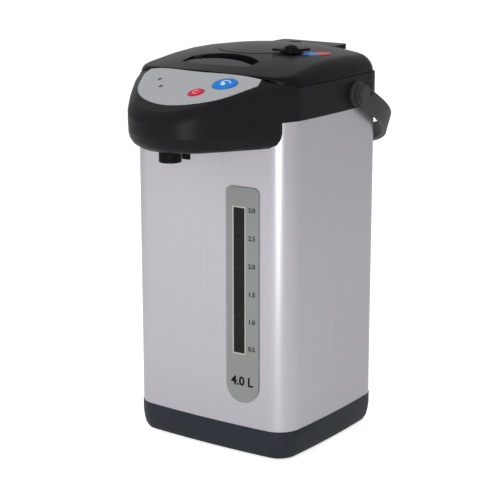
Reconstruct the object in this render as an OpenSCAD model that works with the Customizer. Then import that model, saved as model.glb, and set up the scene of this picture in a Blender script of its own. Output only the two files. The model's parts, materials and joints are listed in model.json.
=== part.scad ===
// Electric thermo pot: a tall rounded-square pot with a beak over the cup place,
// a domed lid with a hand pump, a bail handle and a water gauge on its front.
// Millimetres. X is the pot's width, -Y its front, +Z up. The origin is the centre
// of the footprint on the surface that the pot stands on.

/* [Body] */
// Width of the steel shell, side to side
body_w = 192; // [180:1:206]
// Depth of the steel shell, front to rear
body_d = 177; // [172:1:196]
// Radius of the shell's four upright corners
corner_r = 24; // [18:1:30]
// Radius of the slightly bulging sides in plan
side_r = 1100; // [700:50:2000]
// Height of the black base
base_h = 32; // [28:1:42]
// Height of the steel shell above the base
shell_h = 306; // [290:1:340]
// Sheet thickness of the steel shell
sheet_t = 0.8; // [0.6:0.1:1.2]
// Wall of the moulded black parts
wall = 2.5; // [2:0.1:3]

/* [Shoulder and beak] */
// Height of the collar from the shell's top to the lid seam at the sides
collar_h = 31.5; // [28:0.5:40]
// How far the collar stands proud of the shell
collar_proud = 0.8; // [0.4:0.1:2]
// Reach of the beak in front of the pot's axis
beak_reach = 170; // [160:1:180]
// Radius of the beak's tip in plan
beak_tip_r = 58; // [52:1:64]
// Radius of the beak's nearly straight flanks in plan
beak_flank_r = 600; // [400:50:900]
// Height of the beak's lower cover below the shell's top
beak_drop = 26.5; // [22:0.5:32]
// Rounding of the beak's lower edge
beak_round = 16; // [10:1:18]
// Rounding of the beak's upper edge
brow_round = 8; // [5:0.5:10]
// How far the beak's seam dips at the tip
seam_dip = 5; // [0:0.5:8]
// Fall of the beak's top, per millimetre forwards
beak_slope = 0.44; // [0.4:0.01:0.5]

/* [Lid] */
// Reach of the lid's front edge from the pot's axis
lid_reach = 95; // [93:1:99]
// Plan radius of the lid's front edge
lid_front_r = 220; // [190:5:240]
// Height of the lid's seam at the front, above the seam at the sides
lid_front_rise = 11; // [8:0.5:12]
// Height of the lid's top above the seam at the sides
lid_h = 26; // [26:0.5:30]
// Radius of the lid's dome
dome_r = 480; // [440:10:520]
// Rounding of the lid's edge at the sides
lid_round = 15; // [12:0.5:16]
// How far the lid opens, in degrees
lid_open = 80; // [60:1:85]

/* [Inner pot] */
// Inner radius of the steel pot
pot_r = 76; // [70:0.5:77]
// Height of the pot's floor above the table
pot_floor = 90; // [86:1:100]
// Wall of the pot
pot_t = 1; // [0.8:0.1:1.5]
// Radius of the mouth in the shoulder
mouth_r = 80; // [78.5:0.5:81]

/* [Water gauge] */
// Distance of the gauge plate's centre line from the pot's middle
gauge_x = 44.5; // [40:0.5:48]
// Width of the gauge plate
gauge_w = 37; // [30:1:40]
// Height of the gauge plate's lower end
gauge_low = 57; // [50:1:64]
// Height of the gauge plate's upper end
gauge_high = 273; // [262:1:280]
// Thickness of the gauge plate
gauge_t = 1.7; // [1.2:0.1:2.2]
// Width of the gauge's window
window_w = 12.6; // [11.5:0.1:14]
// Height of the window's lower end
window_low = 107.8; // [100:0.2:114]
// Height of the window's upper end
window_high = 252.8; // [246:0.2:258]
// How far the window lies to the left of the plate's centre line
window_shift = 3.3; // [2:0.1:4]
// Outer radius of the glass gauge tube
tube_r = 5; // [4.5:0.1:5.6]
// Travel of the float in the gauge tube
float_travel = 135; // [120:1:140]

/* [Controls] */
// Half length of the oval dispense button
dispense_r = 11.8; // [10:0.1:12.5]
// Half length of the oval reboil button
reboil_r = 7.7; // [6:0.1:9]
// Width of the oval buttons for their length
button_oval = 0.71; // [0.6:0.01:0.8]
// Direction of the buttons' long axes from the pot's width, in degrees
button_turn = 40; // [30:1:50]
// Height that the panel stands proud of the beak
panel_proud = 0.7; // [0.4:0.1:1.5]
// Thickness of the control panel
panel_t = 3; // [2.5:0.1:4]
// Travel of the buttons
button_travel = 1; // [0.6:0.1:1.4]
// Outer radius of the nozzle
nozzle_r = 10.7; // [9:0.1:12]
// How far the nozzle reaches below the beak
nozzle_drop = 10.5; // [8:0.5:14]

/* [Handle] */
// Height of the handle's pivot above the shell's top
pivot_up = 14; // [13:0.5:17]
// Distance of the handle's pivot behind the pot's axis
pivot_y = 32; // [24:1:40]
// Reach of the handle from its pivot to the middle of the grip
handle_reach = 128; // [118:1:132]
// Width of the handle's strap
strap_w = 20; // [18:0.5:24]
// Thickness of the handle's strap
strap_t = 5; // [4:0.5:6]
// Bend radius of the handle's corners
handle_bend = 98; // [80:1:100]
// Radius of the round bosses that carry the handle
boss_r = 12.5; // [11:0.5:13.5]
// Angle below the horizontal at which the handle rests
handle_rest = 29; // [24:1:36]

/* [Pump and knob] */
// Radius of the round pump plate
plate_r = 43.6; // [41:0.1:45]
// Depth of the pump plate's hollow underside below the lid's crest
plate_t = 7; // [6.5:0.1:9]
// Travel of the pump plate
pump_travel = 13; // [10:1:16]
// Radius of the lock knob's flange
knob_r = 12; // [11:0.5:13]

/* [Fits] */
// Gap around pieces that are set into one another
seat_gap = 0.2; // [0.15:0.05:0.4]
// Gap between pieces that move past each other
move_gap = 0.4; // [0.3:0.05:0.6]
// Radial clearance of a pin in its bore
pin_gap = 0.05; // [0.03:0.01:0.1]

/* [Hidden] */
$fn = 64;
hw = body_w / 2;
hd = body_d / 2;
shell_top = base_h + shell_h;
seam_z = shell_top + collar_h;
crest_z = seam_z + lid_h;
front_seam_z = seam_z + lid_front_rise;
pivot_z = shell_top + pivot_up;
beak_floor = shell_top - beak_drop;
dome_y = 20;              // the dome's crest lies this far behind the pot's axis
lid_inset = 2;            // the lid's edge lies this far inside the collar's face
deck_t = 3;
deck_top = seam_z - 17.5;
deck_low = deck_top - deck_t;
hinge_y = hd + 5.5;
hinge_z = seam_z + 3;
hinge_pin_r = 2;

// --- Plan outlines -----------------------------------------------------------
// An outline is the half from the front middle to the rear middle, on the +X side,
// as points with their outward normals: [x, y, normal x, normal y].
N_FRONT = 14;
N_TIP = 10;
N_CORNER = 8;
N_SIDE = 4;
N_REAR = 4;
function arc(c, r, a0, a1, n) =
    [for (i = [0:n - 1]) let (a = a0 + (a1 - a0) * i / n)
        [c[0] + r * cos(a), c[1] + r * sin(a), cos(a), sin(a)]];
function angle_of(v) = atan2(v[1], v[0]);
// The point at distance rp from p and rq from q: side 1 is left of the way from p to q, -1 right
function meet(p, rp, q, rq, side) =
    let (d = norm(q - p), a = (rp * rp - rq * rq + d * d) / (2 * d), h = sqrt(rp * rp - a * a),
         u = (q - p) / d)
    p + a * u + side * h * [-u[1], u[0]];
// Centres of a side's arc, an end's arc and the corner between them
function side_c(a) = [a - side_r, 0];
function end_c(depth, r) = [0, r - depth];
function corner_c(a, depth, r_end, rc) =
    meet(side_c(a), side_r - rc, end_c(depth, r_end), r_end - rc, -1);
function rear_half(a, depth, rc) =
    let (q = corner_c(a, depth, side_r, rc), e = [0, depth - side_r],
         m = [q[0], -q[1]], b = angle_of(m - side_c(a)), t = angle_of(m - e))
    concat(arc(m, rc, b, t, N_CORNER), arc(e, side_r, t, 90, N_REAR), [[0, depth, 0, 1]]);
function pot_half(a, front, r_front, rear, rc) =
    let (q = corner_c(a, front, r_front, rc), e = end_c(front, r_front),
         t = angle_of(q - e), b = angle_of(q - side_c(a)),
         b2 = -angle_of(corner_c(a, rear, side_r, rc) - side_c(a)))
    concat(arc(e, r_front, -90, t, N_FRONT), arc(q, rc, t, b, N_CORNER),
           arc(side_c(a), side_r, b, b2, N_SIDE), rear_half(a, rear, rc));
tip = [0, beak_tip_r - beak_reach];
function flank_c(q, rc) = meet(tip, beak_flank_r - beak_tip_r, q, beak_flank_r - rc, 1);
function beak_half(a, rear, rc) =
    let (q = corner_c(a, rear, side_r, rc), k = flank_c(q, rc),
         g1 = angle_of(tip - k), g2 = angle_of(q - k), b = angle_of(q - side_c(a)))
    concat(arc(tip, beak_tip_r, -90, g1, N_TIP), arc(k, beak_flank_r, g1, g2, N_FRONT - N_TIP),
           arc(q, rc, g2, b, N_CORNER), arc(side_c(a), side_r, b, -b, N_SIDE),
           rear_half(a, rear, rc));
function whole(h) =
    let (n = len(h) - 1)
    concat(h, [for (i = [n - 1:-1:1]) [-h[i][0], h[i][1], -h[i][2], h[i][3]]]);
function inset(p, d) = [p[0] - d * p[2], p[1] - d * p[3]];
function lerp(a, b, t) = a + (b - a) * t;
function clamp01(t) = min(1, max(0, t));

POT = whole(pot_half(hw, hd, side_r, hd, corner_r));
COLLAR = whole(beak_half(hw + collar_proud, hd + collar_proud, corner_r + collar_proud));
LID = whole(pot_half(hw + collar_proud - lid_inset, lid_reach, lid_front_r,
                     hd + collar_proud - lid_inset, corner_r + collar_proud - lid_inset));
N = len(POT);
ALL = [0:N - 1];

// Exact plan of the steel shell, moved inwards by d, with true arcs
module plan(d = 0) {
    q = corner_c(hw, hd, side_r, corner_r);
    far = [hw, hd] * 1.2;
    b = angle_of(q - side_c(hw));
    t = angle_of(q - end_c(hd, side_r));
    difference() {
        intersection() {
            translate([side_r - hw, 0]) circle(side_r - d, $fn = 720);
            translate([hw - side_r, 0]) circle(side_r - d, $fn = 720);
            translate([0, side_r - hd]) circle(side_r - d, $fn = 720);
            translate([0, hd - side_r]) circle(side_r - d, $fn = 720);
        }
        for (sx = [0, 1], sy = [0, 1]) mirror([sx, 0]) mirror([0, sy])
            difference() {
                polygon([q, q + side_r / 20 * [cos(b), sin(b)], [far[0], -far[1]],
                         q + side_r / 20 * [cos(t), sin(t)]]);
                translate(q) circle(corner_r - d);
            }
    }
}
// The same plan grown by d, from points: used only for cutting
module grown(d) { polygon([for (p = POT) inset(p, -d)]); }

// --- Surfaces -----------------------------------------------------------------
crown_fall = front_seam_z - seam_z + beak_slope * (lid_reach - 72);
function crown(p) = front_seam_z + beak_slope * (p[1] + lid_reach) - crown_fall * pow(abs(p[0]) / 92, 3);
function crown_slope(p) = [-3 * crown_fall * p[0] * abs(p[0]) / pow(92, 3), beak_slope];
function crown_normal(p) = let (s = crown_slope(p), v = [-s[0], -s[1], 1]) v / norm(v);
function dome(p) = crest_z - dome_r
    + sqrt(dome_r * dome_r - p[0] * p[0] - (p[1] - dome_y) * (p[1] - dome_y));
// Height of the lid's seam at ring point i, and of the shoulder's top at p beside it
SEAM = [for (p = LID) p[1] < -72 ? max(seam_z, crown(p)) : seam_z];
function top_z(p, i) = p[1] < -64 ? min(crown(p), SEAM[i]) : SEAM[i];
function lower_z(p) = shell_top - seam_dip * clamp01((-p[1] - 80) / 80);

// Rings of N points joined in order: a closed tube of rings, or a solid with two poles
module rings(r, poles = []) {
    n = len(r[0]);
    m = len(r);
    last = len(poles) == 2 ? m - 2 : m - 1;
    points = concat([for (a = r, p = a) p], poles);
    sides = [for (j = [0:last], i = [0:n - 1])
        let (k = (i + 1) % n, a = j * n, b = ((j + 1) % m) * n)
        each [[a + i, b + i, b + k], [a + i, b + k, a + k]]];
    caps = len(poles) == 2
        ? concat([for (i = [0:n - 1]) [m * n, i, (i + 1) % n]],
                 [for (i = [0:n - 1]) [m * n + 1, (m - 1) * n + (i + 1) % n, (m - 1) * n + i]])
        : [];
    polyhedron(points, concat(sides, caps), convexity = 8);
}

// --- Base ----------------------------------------------------------------------
base_lift = 1.5;
plate_z = 3;
plate_thick = 3;
foot_r = [60, 70];
base_proud = 0.6;
module base_housing() {
    color("#26282a") difference() {
        rings([for (s = [[8.5, base_lift], [4.5, 3.2], [1.8, 7.5], [0.3, 14], [-base_proud, 21],
                         [-base_proud, base_h], [sheet_t + seat_gap, base_h],
                         [sheet_t + seat_gap, base_h + 7], [sheet_t + seat_gap + 2, base_h + 7],
                         [wall + 0.6, base_h - 3], [wall + 0.6, 21], [wall + 1.2, 14],
                         [wall + 2.8, 9], [wall + 6, base_lift + wall], [wall + 8, base_lift]])
               [for (p = POT) concat(inset(p, s[0]), [s[1]])]]);
        translate([inlet_x - inlet_w / 2 - seat_gap, hd - 30, inlet_z - inlet_h / 2 - seat_gap])
            cube([inlet_w + 2 * seat_gap, 40, inlet_h + 2 * seat_gap]);
    }
}
inlet_x = 0;
inlet_z = 16;
inlet_w = 30;
inlet_h = 15;
module bottom_plate() {
    color("#2c2e30") {
        difference() {
            union() {
                translate([0, 0, plate_z]) linear_extrude(plate_thick)
                    polygon([for (p = POT) inset(p, wall + 7.1)]);
                for (p = board_posts) translate([p[0], p[1], plate_z + plate_thick])
                    cylinder(r = 3, h = board_z - plate_z - plate_thick, $fn = 24);
                for (a = [45:90:315]) rotate(a) translate([74, 0, plate_z + plate_thick])
                    cylinder(r = 4, h = 14, $fn = 24);
            }
            translate([0, 0, plate_z - 1]) difference() {
                cylinder(r = foot_r[1] + seat_gap, h = 2.2);
                translate([0, 0, -1]) cylinder(r = foot_r[0] - seat_gap, h = 5);
            }
            for (i = [-4:4]) translate([i * 8 - 1.5, 24, plate_z - 1]) cube([3, 26, plate_thick + 2]);
            for (a = [45:90:315]) rotate(a) translate([74, 0, plate_z - 1])
                cylinder(r = 1.6, h = 14, $fn = 24);
        }
    }
}
module foot_ring() {
    color("#141414") difference() {
        cylinder(r = foot_r[1], h = plate_z + 1.2);
        translate([0, 0, -1]) cylinder(r = foot_r[0], h = plate_z + 4);
    }
}
module base_screws() {
    color("#8a8c90") for (a = [45:90:315]) rotate(a) translate([74, 0, plate_z - 1.8]) {
        cylinder(r = 2.8, h = 1.7, $fn = 24);
        cylinder(r = 1.5, h = 12, $fn = 24);
    }
}
// Power inlet: a shallow socket in the rear of the base
module power_inlet() {
    color("#1b1c1e") difference() {
        translate([inlet_x - inlet_w / 2, hd - 16, inlet_z - inlet_h / 2])
            cube([inlet_w, 16.8, inlet_h]);
        translate([inlet_x - inlet_w / 2 + 2, hd - 12, inlet_z - inlet_h / 2 + 2])
            cube([inlet_w - 4, 16, inlet_h - 4]);
        for (s = [-1, 1]) translate([inlet_x + s * 6, hd, inlet_z])
            rotate([90, 0, 0]) cylinder(r = 1.8 + pin_gap, h = 30, $fn = 24);
    }
}
module inlet_pins() {
    color("#c8b070") for (s = [-1, 1]) translate([inlet_x + s * 6, hd - 6.5, inlet_z])
        rotate([90, 0, 0]) cylinder(r = 1.8, h = 11, $fn = 24);
}

// --- Shell and gauge ------------------------------------------------------------
spout_from = [gauge_x - window_shift, -(pot_r + 1 + tube_r) * 0.94];
spout_z = shell_top - 10;
module outer_shell() {
    color("#c4c6c9") difference() {
        translate([0, 0, base_h + 0.1]) linear_extrude(shell_h - 0.2) difference() {
            plan(0);
            plan(sheet_t);
        }
        // slot behind the gauge, way of the spout tube, and the inlet's cut-out
        translate([spout_from[0], -hd - 2, 0]) rotate([-90, 0, 0])
            linear_extrude(10) slot_shape(window_w + 3, window_low - 4, window_high + 4);
        translate([spout_from[0] - 20, -hd - 2, spout_z - 9]) cube([28, 20, 30]);
    }
}
// An upright slot, drawn so that rotating it by -90 about X stands it up
module slot_shape(w, low, high) { translate([-w / 2, -high]) square([w, high - low]); }
module front_band(inner, outer) {
    linear_extrude(400) difference() {
        plan(-outer);
        plan(-inner);
    }
}
module gauge_panel() {
    color("#8d908e") difference() {
        intersection() {
            front_band(0.05, gauge_t);
            translate([gauge_x, -hd - 6, 0]) rotate([-90, 0, 0]) linear_extrude(20) union() {
                translate([-gauge_w / 2, -gauge_high + 6]) square([gauge_w, gauge_high - gauge_low - 6 - gauge_w / 2]);
                translate([-gauge_w / 2 + 6, -gauge_high]) square([gauge_w - 12, 20]);
                for (s = [-1, 1]) translate([s * (gauge_w / 2 - 6), -gauge_high + 6]) circle(6);
                translate([0, -gauge_low - gauge_w / 2]) circle(gauge_w / 2);
            }
        }
        translate([spout_from[0], -hd - 6, 0]) rotate([-90, 0, 0])
            linear_extrude(20) slot_shape(window_w, window_low, window_high);
    }
}
module gauge_lens() {
    color("#303234") intersection() {
        front_band(0.05, gauge_t - 0.3);
        translate([spout_from[0], -hd - 6, 0]) rotate([-90, 0, 0])
            linear_extrude(20) slot_shape(window_w - seat_gap, window_low + seat_gap / 2, window_high - seat_gap / 2);
    }
}
tube_low = window_low - 12;
tube_high = window_high + 8;
tube_t = 0.9;
fitting_h = 8;
module gauge_tube() {
    color("#dfe6e8") translate([spout_from[0], spout_from[1], tube_low]) difference() {
        cylinder(r = tube_r, h = tube_high - tube_low, $fn = 32);
        translate([0, 0, -1]) cylinder(r = tube_r - tube_t, h = tube_high - tube_low + 2, $fn = 32);
    }
}
float_z = window_low + 1;
module level_float() {
    color("#c8102e") translate([spout_from[0], spout_from[1], float_z])
        cylinder(r = tube_r - tube_t - 0.5, h = 7, $fn = 32);
}
module tube_fittings() {
    color("#3a3c3e") for (z = [tube_low - 3, tube_high - fitting_h + 3])
        translate([spout_from[0], spout_from[1], z]) difference() {
            cylinder(r = tube_r + 2, h = fitting_h, $fn = 32);
            translate([0, 0, -1]) cylinder(r = tube_r + pin_gap, h = fitting_h + 2, $fn = 32);
        }
}

// --- Pot and heating --------------------------------------------------------------
pot_rim = deck_low - 2;
module inner_pot() {
    color("#b9bcbf") rotate_extrude($fn = 96) polygon(concat(
        [[0, pot_floor - pot_t], [pot_r - 8, pot_floor - pot_t]],
        [for (a = [-90:15:0]) [pot_r - 8 + (8 + pot_t) * cos(a), pot_floor + 8 + (8 + pot_t) * sin(a)]],
        [[pot_r + pot_t, pot_rim - 1.5], [mouth_r + 3.5, pot_rim - 1.5], [mouth_r + 3.5, pot_rim],
         [pot_r, pot_rim]],
        [for (a = [0:-15:-90]) [pot_r - 8 + 8 * cos(a), pot_floor + 8 + 8 * sin(a)]],
        [[0, pot_floor]]));
}
module pot_seal_ring() {
    color("#d8d8d4") translate([0, 0, pot_rim]) difference() {
        cylinder(r = mouth_r + 3, h = deck_low - pot_rim, $fn = 96);
        translate([0, 0, -1]) cylinder(r = mouth_r + 0.3, h = 5, $fn = 96);
    }
}
module insulation_jacket() {
    color("#9aa0a4") translate([0, 0, pot_floor + 52]) difference() {
        cylinder(r = pot_r + pot_t + 3, h = 170, $fn = 96);
        translate([0, 0, -1]) cylinder(r = pot_r + pot_t + 0.2, h = 172, $fn = 96);
    }
}
module band_heater() {
    color("#b08d57") translate([0, 0, pot_floor + 14]) difference() {
        cylinder(r = pot_r + pot_t + 1.4, h = 30, $fn = 96);
        translate([0, 0, -1]) cylinder(r = pot_r + pot_t, h = 32, $fn = 96);
    }
}
heater_low = pot_floor - pot_t - 6;
module heater_plate() {
    color("#8f6f4a") difference() {
        translate([0, 0, heater_low]) cylinder(r = 56, h = 6);
        translate([pump_x, pump_y, heater_low - 1]) cylinder(r = hose_r + 1.5, h = 9, $fn = 32);
    }
}
module thermostats() {
    color("#6d7074") for (p = [[-30, 18], [-10, 38]]) translate([p[0], p[1], heater_low - 8])
        cylinder(r = 8, h = 8, $fn = 32);
}

// --- Pump ---------------------------------------------------------------------------
pump_x = 16;
pump_y = -34;
motor_r = 16;
motor_z = plate_z + plate_thick;
motor_h = 28;
hose_r = 5;
housing_z = motor_z + motor_h;
housing_h = 20;
module pump_motor() {
    color("#a7a9ac") translate([pump_x, pump_y, motor_z]) {
        cylinder(r = motor_r, h = motor_h, $fn = 48);
    }
}
module pump_housing() {
    color("#e4e2da") translate([pump_x, pump_y, housing_z]) difference() {
        cylinder(r = 19, h = housing_h, $fn = 48);
        translate([0, 0, 3]) cylinder(r = 15.5, h = 13, $fn = 48);
    }
}
module pump_impeller() {
    color("#f0f0ea") translate([pump_x, pump_y, housing_z + 4]) {
        cylinder(r = 4, h = 10, $fn = 32);
        cylinder(r = 14.5, h = 2, $fn = 48);
        for (a = [0:60:300]) rotate(a) translate([3, -0.8, 1]) cube([11, 1.6, 7]);
    }
}
module inlet_hose() {
    color("#cfcfc8") translate([pump_x, pump_y, housing_z + housing_h])
        cylinder(r = hose_r, h = pot_floor - pot_t - housing_z - housing_h, $fn = 32);
}
module outlet_hose() {
    color("#cfcfc8") difference() {
        pipe([[pump_x + 8, pump_y - 12.6], spout_from, spout_from],
             [housing_z + 10, housing_z + 10, tube_low], hose_r);
        translate([pump_x, pump_y, housing_z]) cylinder(r = 19, h = housing_h, $fn = 48);
    }
}
// A round pipe through plan points at given heights, with a ball at each bend
module pipe(plan_points, heights, r) {
    p = [for (i = [0:len(heights) - 1]) concat(plan_points[i], [heights[i]])];
    for (i = [0:len(p) - 2]) {
        v = p[i + 1] - p[i];
        translate(p[i]) rotate([0, acos(v[2] / norm(v)), atan2(v[1], v[0])])
            cylinder(r = r, h = norm(v), $fn = 32);
        if (i > 0) translate(p[i]) sphere(r + 0.6, $fn = 48);
    }
}

// --- Electronics ----------------------------------------------------------------------
board_z = 18;
board_posts = [for (x = [-58, -14], y = [-30, 12]) [x, y]];
module power_board() {
    color("#2d6b3c") {
        translate([-64, -36, board_z]) cube([56, 54, 1.6]);
        translate([-58, -26, board_z + 1.6]) cube([20, 18, 16]);
        translate([-26, 0, board_z + 1.6]) cylinder(r = 6, h = 18, $fn = 32);
    }
}

// --- Shoulder --------------------------------------------------------------------------
// The moulded collar and the beak's upper half in one piece, lofted round the pot: each
// ring is one line of its section, from the outer wall over the top to the deck and back.
DEPTH = [for (i = ALL) norm([COLLAR[i][0] - LID[i][0], COLLAR[i][1] - LID[i][1]])];
FRONTNESS = [for (i = ALL) clamp01((DEPTH[i] - 4) / 14)];
function roof(p, i) = concat(p, [top_z(p, i)]);
function section(i) =
    let (a = COLLAR[i], w = FRONTNESS[i], rf = lerp(0.7, brow_round, w),
         b = inset(LID[i], -seat_gap), bo = inset(LID[i], -seat_gap - 0.75 * wall),
         c = mouth_r * [LID[i][0], LID[i][1]] / norm([LID[i][0], LID[i][1]]),
         f = inset(a, rf), fi = inset(a, rf + wall), ai = inset(a, wall))
    concat(
        [concat(ai, [lower_z(a)]), concat(inset(a, 0), [lower_z(a)])],
        [for (t = [0, 30, 60]) let (p = inset(a, rf * (1 - cos(t))))
            concat(p, [top_z(p, i) - rf * (1 - sin(t))])],
        [for (t = [0, 0.25, 0.5, 0.75]) roof(lerp(f, b, t), i)],
        [concat(b, [SEAM[i]]), concat(b, [deck_top]), concat(c, [deck_top]), concat(c, [deck_low])],
        [lerp(concat(inset(a, wall + 0.6), [deck_low]), concat(bo, [deck_low]), w),
         lerp(concat(ai, [deck_low - 2]), concat(bo, [top_z(bo, i) - wall * 1.2]), w),
         lerp(concat(ai, [deck_low - 4]),
              concat(lerp(bo, fi, 0.5), [top_z(lerp(bo, fi, 0.5), i) - wall * 1.2]), w),
         lerp(concat(ai, [deck_low - 6]), concat(ai, [top_z(fi, i) - rf - wall * 0.6]), w)]);
SECTIONS = [for (i = ALL) section(i)];
// where a rounded end of radius 6 touches the arc behind the panel
panel_end_y = lid_front_r - lid_reach - sqrt(pow(lid_front_r + 8, 2) - 61 * 61);
// The panel's plan: round in front like the beak, hollow behind like the lid's front edge
module panel_outline(d = 0) {
    difference() {
        hull() {
            translate([0, -87.3]) circle(63.7 + d, $fn = 144);
            for (s = [-1, 1]) translate([s * 61, panel_end_y]) circle(6 + d, $fn = 32);
        }
        translate(end_c(lid_reach, lid_front_r)) circle(lid_front_r + 2 - d, $fn = 360);
    }
}
module shoulder() {
    color("#232527") difference() {
        rings([for (j = [0:len(SECTIONS[0]) - 1]) [for (i = ALL) SECTIONS[i][j]]]);
        translate([0, 0, beak_floor]) linear_extrude(120) panel_outline(seat_gap);
        for (p = [[dispense_at, dispense_r], [reboil_at, reboil_r]])
            stand_on_crown(p[0], -button_depth - 2.5, button_turn) linear_extrude(6) oval(p[1], 1.4);
        // seats and screw bores of the bosses
        for (s = [-1, 1]) translate([s * (hw - 12), pivot_y, pivot_z]) rotate([0, s * 90, 0]) {
            cylinder(r = 2.2, h = 20, $fn = 24);
            translate([0, 0, 12 - boss_sink]) cylinder(r = boss_r + 0.1, h = 20);
        }
    }
}

// --- Beak cover ---------------------------------------------------------------------------
// Its plan is the beak's, from the tip back to where the flanks come close to the pot; the
// two rear points lie inside the pot's plan, which is cut away.
cover_rear = hd - 2.5;
COVER = let (rc = corner_r + collar_proud, k = flank_c(corner_c(hw + collar_proud, hd + collar_proud, side_r, rc), rc),
             g = angle_of(tip - k), e = asin((-cover_rear - k[1]) / beak_flank_r))
    concat(arc(tip, beak_tip_r, -90, g, N_TIP), arc(k, beak_flank_r, g, e, 5), arc(k, beak_flank_r, e, e + 1, 1));
CLOSED = concat(COVER, [[COVER[len(COVER) - 1][0], -40, 1, 0], [-COVER[len(COVER) - 1][0], -40, -1, 0]],
                [for (i = [len(COVER) - 1:-1:1]) [-COVER[i][0], COVER[i][1], -COVER[i][2], COVER[i][3]]]);
function cover_ring(d, z) =
    [for (p = CLOSED) concat(inset(p, d + 0.3), [z == 0 ? lower_z(p) - seat_gap : z])];
module cover_solid(d, lift) {
    n = 4;
    r = beak_round - d;
    rings(concat(
        [for (k = [n:-1:0]) let (a = 90 * k / n)
            cover_ring(d + r * (1 - cos(a)), beak_floor + d + r * (1 - sin(a)))],
        [lift == 0 ? cover_ring(d, 0) : cover_ring(d, shell_top + lift)]),
        [[0, -110, beak_floor + d], [0, -110, lift == 0 ? shell_top - seam_dip - seat_gap : shell_top + lift]]);
}
module beak_cover() {
    color("#232527") difference() {
        cover_solid(0, 0);
        cover_solid(wall, 10);
        translate([0, 0, beak_floor - 5]) linear_extrude(60) grown(0.3);
        translate([0, nozzle_y, beak_floor - 5]) cylinder(r = nozzle_r - 2 + seat_gap, h = 20);
        translate([-6, lever_y - 4, beak_floor - 5]) cube([12, 10, 12]);
    }
}
nozzle_y = -142;
lever_y = -119;
module nozzle() {
    color("#1c1d1f") translate([0, nozzle_y, 0]) difference() {
        union() {
            translate([0, 0, beak_floor - nozzle_drop]) cylinder(r = nozzle_r, h = nozzle_drop - 0.1);
            translate([0, 0, beak_floor - 1]) cylinder(r = nozzle_r - 2, h = 7);
        }
        translate([0, 0, beak_floor - nozzle_drop - 1]) cylinder(r = 6.5, h = nozzle_drop - 1, $fn = 32);
        translate([0, 0, beak_floor - nozzle_drop - 1]) cylinder(r = 3.5, h = 30, $fn = 32);
    }
}
module spout_tube() {
    color("#cfcfc8") pipe([spout_from, spout_from, [0, nozzle_y], [0, nozzle_y]],
                          [tube_high, spout_z, spout_z, beak_floor + 6], hose_r);
}
lever_pin_z = beak_floor + wall + 4;
module cup_lever() {
    color("#1c1d1f") difference() {
        union() {
            translate([-4.2, lever_y, beak_floor - 12]) cube([8.4, 3, lever_pin_z - beak_floor + 12]);
            translate([-4.2, lever_y + 1.5, lever_pin_z]) rotate([0, 90, 0]) cylinder(r = 3, h = 8.4, $fn = 32);
        }
        translate([-10, lever_y + 1.5, lever_pin_z]) rotate([0, 90, 0])
            cylinder(r = 1.2 + pin_gap, h = 20, $fn = 32);
    }
}
module lever_bracket() {
    color("#2a2c2e") for (s = [-1, 1]) translate([s * 8.2 - 1.5, lever_y - 2.5, beak_floor + wall])
        difference() {
            cube([3, 8, 8]);
            translate([-1, 4, 4]) rotate([0, 90, 0]) cylinder(r = 1.2 + pin_gap, h = 6, $fn = 32);
        }
}
module lever_pin() {
    color("#b8babc") translate([-9.7, lever_y + 1.5, lever_pin_z]) rotate([0, 90, 0])
        cylinder(r = 1.2, h = 19.4, $fn = 32);
}

// --- Control panel ---------------------------------------------------------------------------
dispense_at = [39.5, -109];
reboil_at = [20.8, -128.6];
lamps_at = [[-34.5, -112.1], [-24.1, -123.9]];
function on_crown(p, up = 0) = concat(p, [crown(p)]) + up * crown_normal(p);
// Stands a child on the beak's top at plan point p, with its own Z along the surface normal
module stand_on_crown(p, up = 0, turn = 0) {
    n = crown_normal(p);
    a = atan2(n[1], n[0]);
    translate(on_crown(p, up)) rotate([0, acos(n[2]), a]) rotate(turn - a) children();
}
module oval(r, d = 0) {
    polygon([for (a = [0:9:351]) [(r + d) * cos(a), (r * button_oval + d) * sin(a)]]);
}
module crown_slab(low, high) {
    nx = 22;
    ny = 10;
    xs = [for (i = [0:nx]) -80 + 160 * i / nx];
    ys = [for (j = [0:ny]) -158 + 76 * j / ny];
    m = nx + 1;
    k = m * (ny + 1);
    edge = concat([for (i = [0:nx]) i], [for (j = [1:ny]) j * m + nx],
                  [for (i = [nx - 1:-1:0]) ny * m + i], [for (j = [ny - 1:-1:1]) j * m]);
    points = concat([for (y = ys, x = xs) [x, y, crown([x, y]) + high]],
                    [for (y = ys, x = xs) [x, y, crown([x, y]) + low]]);
    grid = [for (j = [0:ny - 1], i = [0:nx - 1]) let (a = j * m + i)
        each [[a, a + m, a + m + 1], [a, a + m + 1, a + 1],
              [k + a, k + a + m + 1, k + a + m], [k + a, k + a + 1, k + a + m + 1]]];
    rim = [for (e = [0:len(edge) - 1]) let (a = edge[e], b = edge[(e + 1) % len(edge)])
        each [[a, b, k + b], [a, k + b, k + a]]];
    polyhedron(points, concat(grid, rim), convexity = 4);
}
peg_at = [[-30, 6], [8, 8], [0, -17]];
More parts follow.
